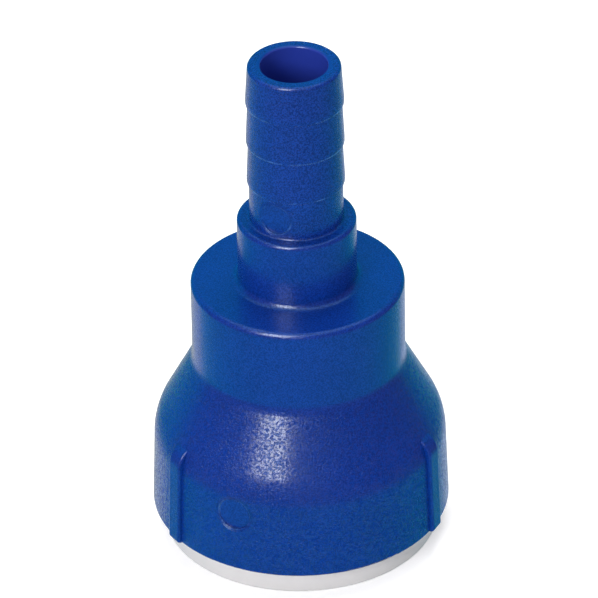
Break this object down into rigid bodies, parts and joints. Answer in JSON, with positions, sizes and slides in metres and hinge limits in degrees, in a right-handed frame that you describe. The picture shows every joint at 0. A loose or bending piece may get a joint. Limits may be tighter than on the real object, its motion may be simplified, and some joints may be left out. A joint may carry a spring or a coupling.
{
  "type": "hose barb connector",
  "caption": "Moulded hose barb connector with a barbed tail, a collar and neck, and a ribbed bell that holds a threaded sleeve and a washer.",
  "frame": {"origin": "on the axis, in the plane of the threaded sleeve's open end, on which the connector stands", "axes": "+Z along the axis towards the barbed tail's tip; +Y towards one of the grip ribs"},
  "size_m": [0.043, 0.0436, 0.0769],
  "materials": {
    "blue_plastic": "fine spark-eroded grain, semi-matt",
    "white_plastic": "smooth, semi-matt",
    "black_rubber": "matt"
  },
  "bodies": {
    "root": {"barbed_body": "blue_plastic", "threaded_sleeve": "white_plastic", "sealing_washer": "black_rubber"}
  },
  "joints": []
}
